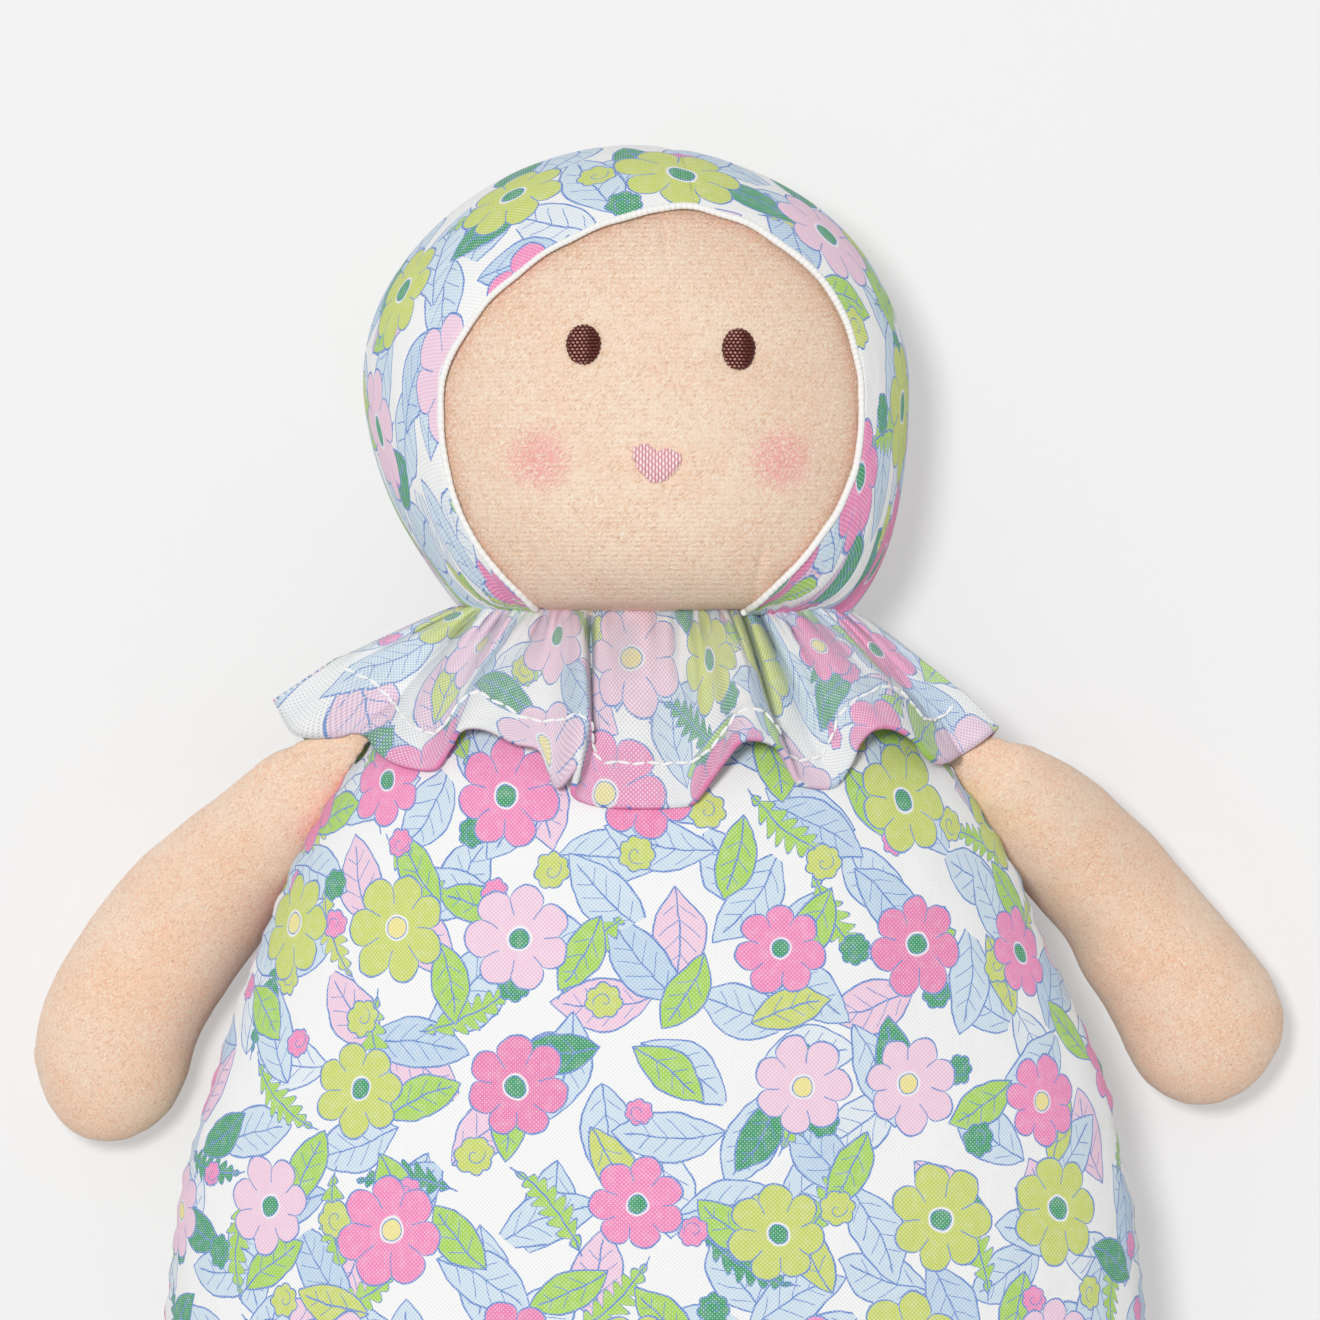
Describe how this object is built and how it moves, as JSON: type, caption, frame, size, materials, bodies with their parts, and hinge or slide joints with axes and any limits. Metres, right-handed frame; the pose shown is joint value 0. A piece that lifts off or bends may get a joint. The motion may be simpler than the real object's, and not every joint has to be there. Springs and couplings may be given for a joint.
{
  "type": "rag doll",
  "caption": "Soft rag doll lying on its back: round hooded head with a stitched face, gathered collar, pear-shaped body, and limp arms and legs.",
  "frame": {"origin": "middle of the doll's box, seen from above, on the surface that it lies on", "axes": "+X the side that is on the right seen from above, +Y from the feet to the crown, +Z the doll's front"},
  "size_m": [0.185, 0.2963, 0.0575],
  "materials": {
    "printed_cotton": "plain-woven cotton with a small floral print",
    "velour": "brushed knit with a short pile",
    "white_piping": "matt cotton",
    "brown_thread": "satin stitch with a slight shine",
    "pink_thread": "satin stitch with a slight shine",
    "fibre_filling": "loose polyester fibre"
  },
  "bodies": {
    "torso": {"body_front": "printed_cotton", "body_back": "printed_cotton", "body_stuffing": "fibre_filling", "collar_ruffle": "printed_cotton", "left_arm_end": "velour", "right_arm_end": "velour", "left_leg_end": "velour", "right_leg_end": "velour"},
    "head": {"head_stuffing": "fibre_filling", "face_panel": "velour", "hood_left": "printed_cotton", "hood_right": "printed_cotton", "hood_piping": "white_piping", "left_eye": "brown_thread", "right_eye": "brown_thread", "heart_mouth": "pink_thread"},
    "left_arm": {"left_arm_front": "velour", "left_arm_back": "velour", "left_arm_stuffing": "fibre_filling"},
    "right_arm": {"right_arm_front": "velour", "right_arm_back": "velour", "right_arm_stuffing": "fibre_filling"},
    "left_leg": {"left_leg_front": "velour", "left_leg_back": "velour", "left_leg_stuffing": "fibre_filling"},
    "right_leg": {"right_leg_front": "velour", "right_leg_back": "velour", "right_leg_stuffing": "fibre_filling"}
  },
  "joints": [
    {"name": "head_nod", "type": "hinge", "parent": "torso", "child": "head", "pos_m": [-0.00025, 0.0788, 0.0285], "axis": [1, 0, 0], "range_deg": [-25, 25], "deforming": ["collar_ruffle"]},
    {"name": "left_arm_lift", "type": "hinge", "parent": "torso", "child": "left_arm", "pos_m": [-0.05034, 0.05711, 0.0285], "axis": [-0.645, 0.7642, 0], "range_deg": [-30, 80]},
    {"name": "right_arm_lift", "type": "hinge", "parent": "torso", "child": "right_arm", "pos_m": [0.049, 0.05719, 0.0285], "axis": [-0.6, -0.8, 0], "range_deg": [-30, 80]},
    {"name": "left_leg_fold", "type": "hinge", "parent": "torso", "child": "left_leg", "pos_m": [-0.02275, -0.0962, 0.016], "axis": [-0.9925, 0.1219, 0], "range_deg": [-45, 80]},
    {"name": "right_leg_fold", "type": "hinge", "parent": "torso", "child": "right_leg", "pos_m": [0.02225, -0.0962, 0.016], "axis": [-0.9925, -0.1219, 0], "range_deg": [-45, 80]}
  ]
}
